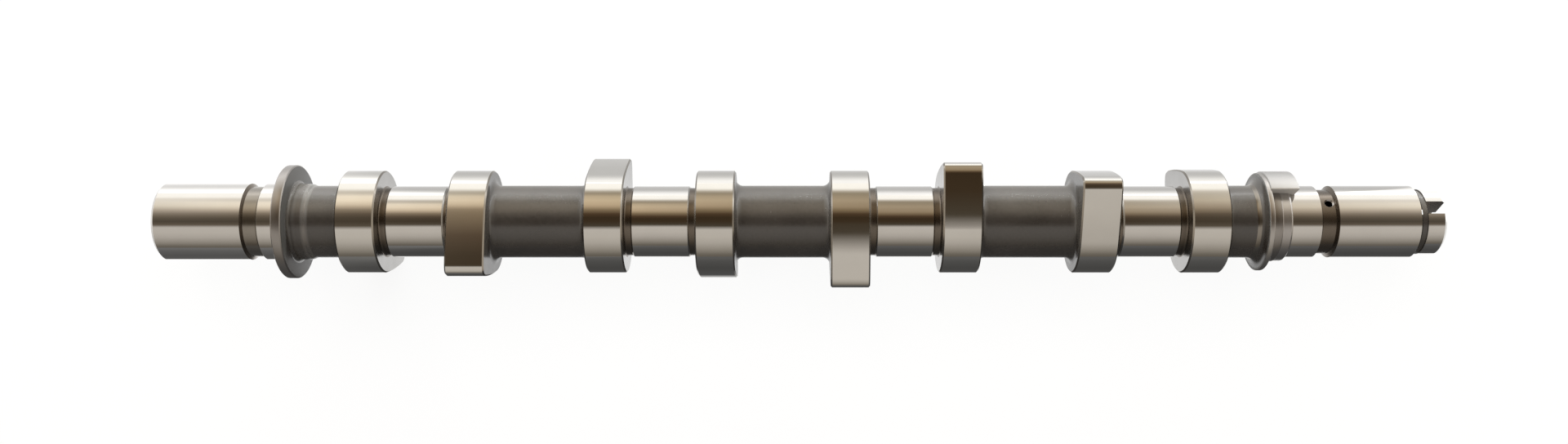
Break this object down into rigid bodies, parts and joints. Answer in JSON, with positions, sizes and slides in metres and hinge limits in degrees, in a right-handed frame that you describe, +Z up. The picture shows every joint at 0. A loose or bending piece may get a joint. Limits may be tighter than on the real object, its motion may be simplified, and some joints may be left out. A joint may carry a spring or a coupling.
{
  "type": "camshaft",
  "caption": "One-piece engine camshaft with paired lobes between round journals, a thrust flange, a sensor disc with a toothed hub and a slotted dog end.",
  "frame": {"origin": "on the shaft's axis at the front face of the thrust flange", "axes": "+X along the shaft from the pulley end to the dog end, +Z up with the shaft lying on its side as it comes to rest"},
  "size_m": [0.4478, 0.0476, 0.0476],
  "materials": {
    "camshaft": "ground journals and lobes on an as-cast dark core"
  },
  "bodies": {
    "root": {"camshaft": "camshaft"}
  },
  "joints": []
}
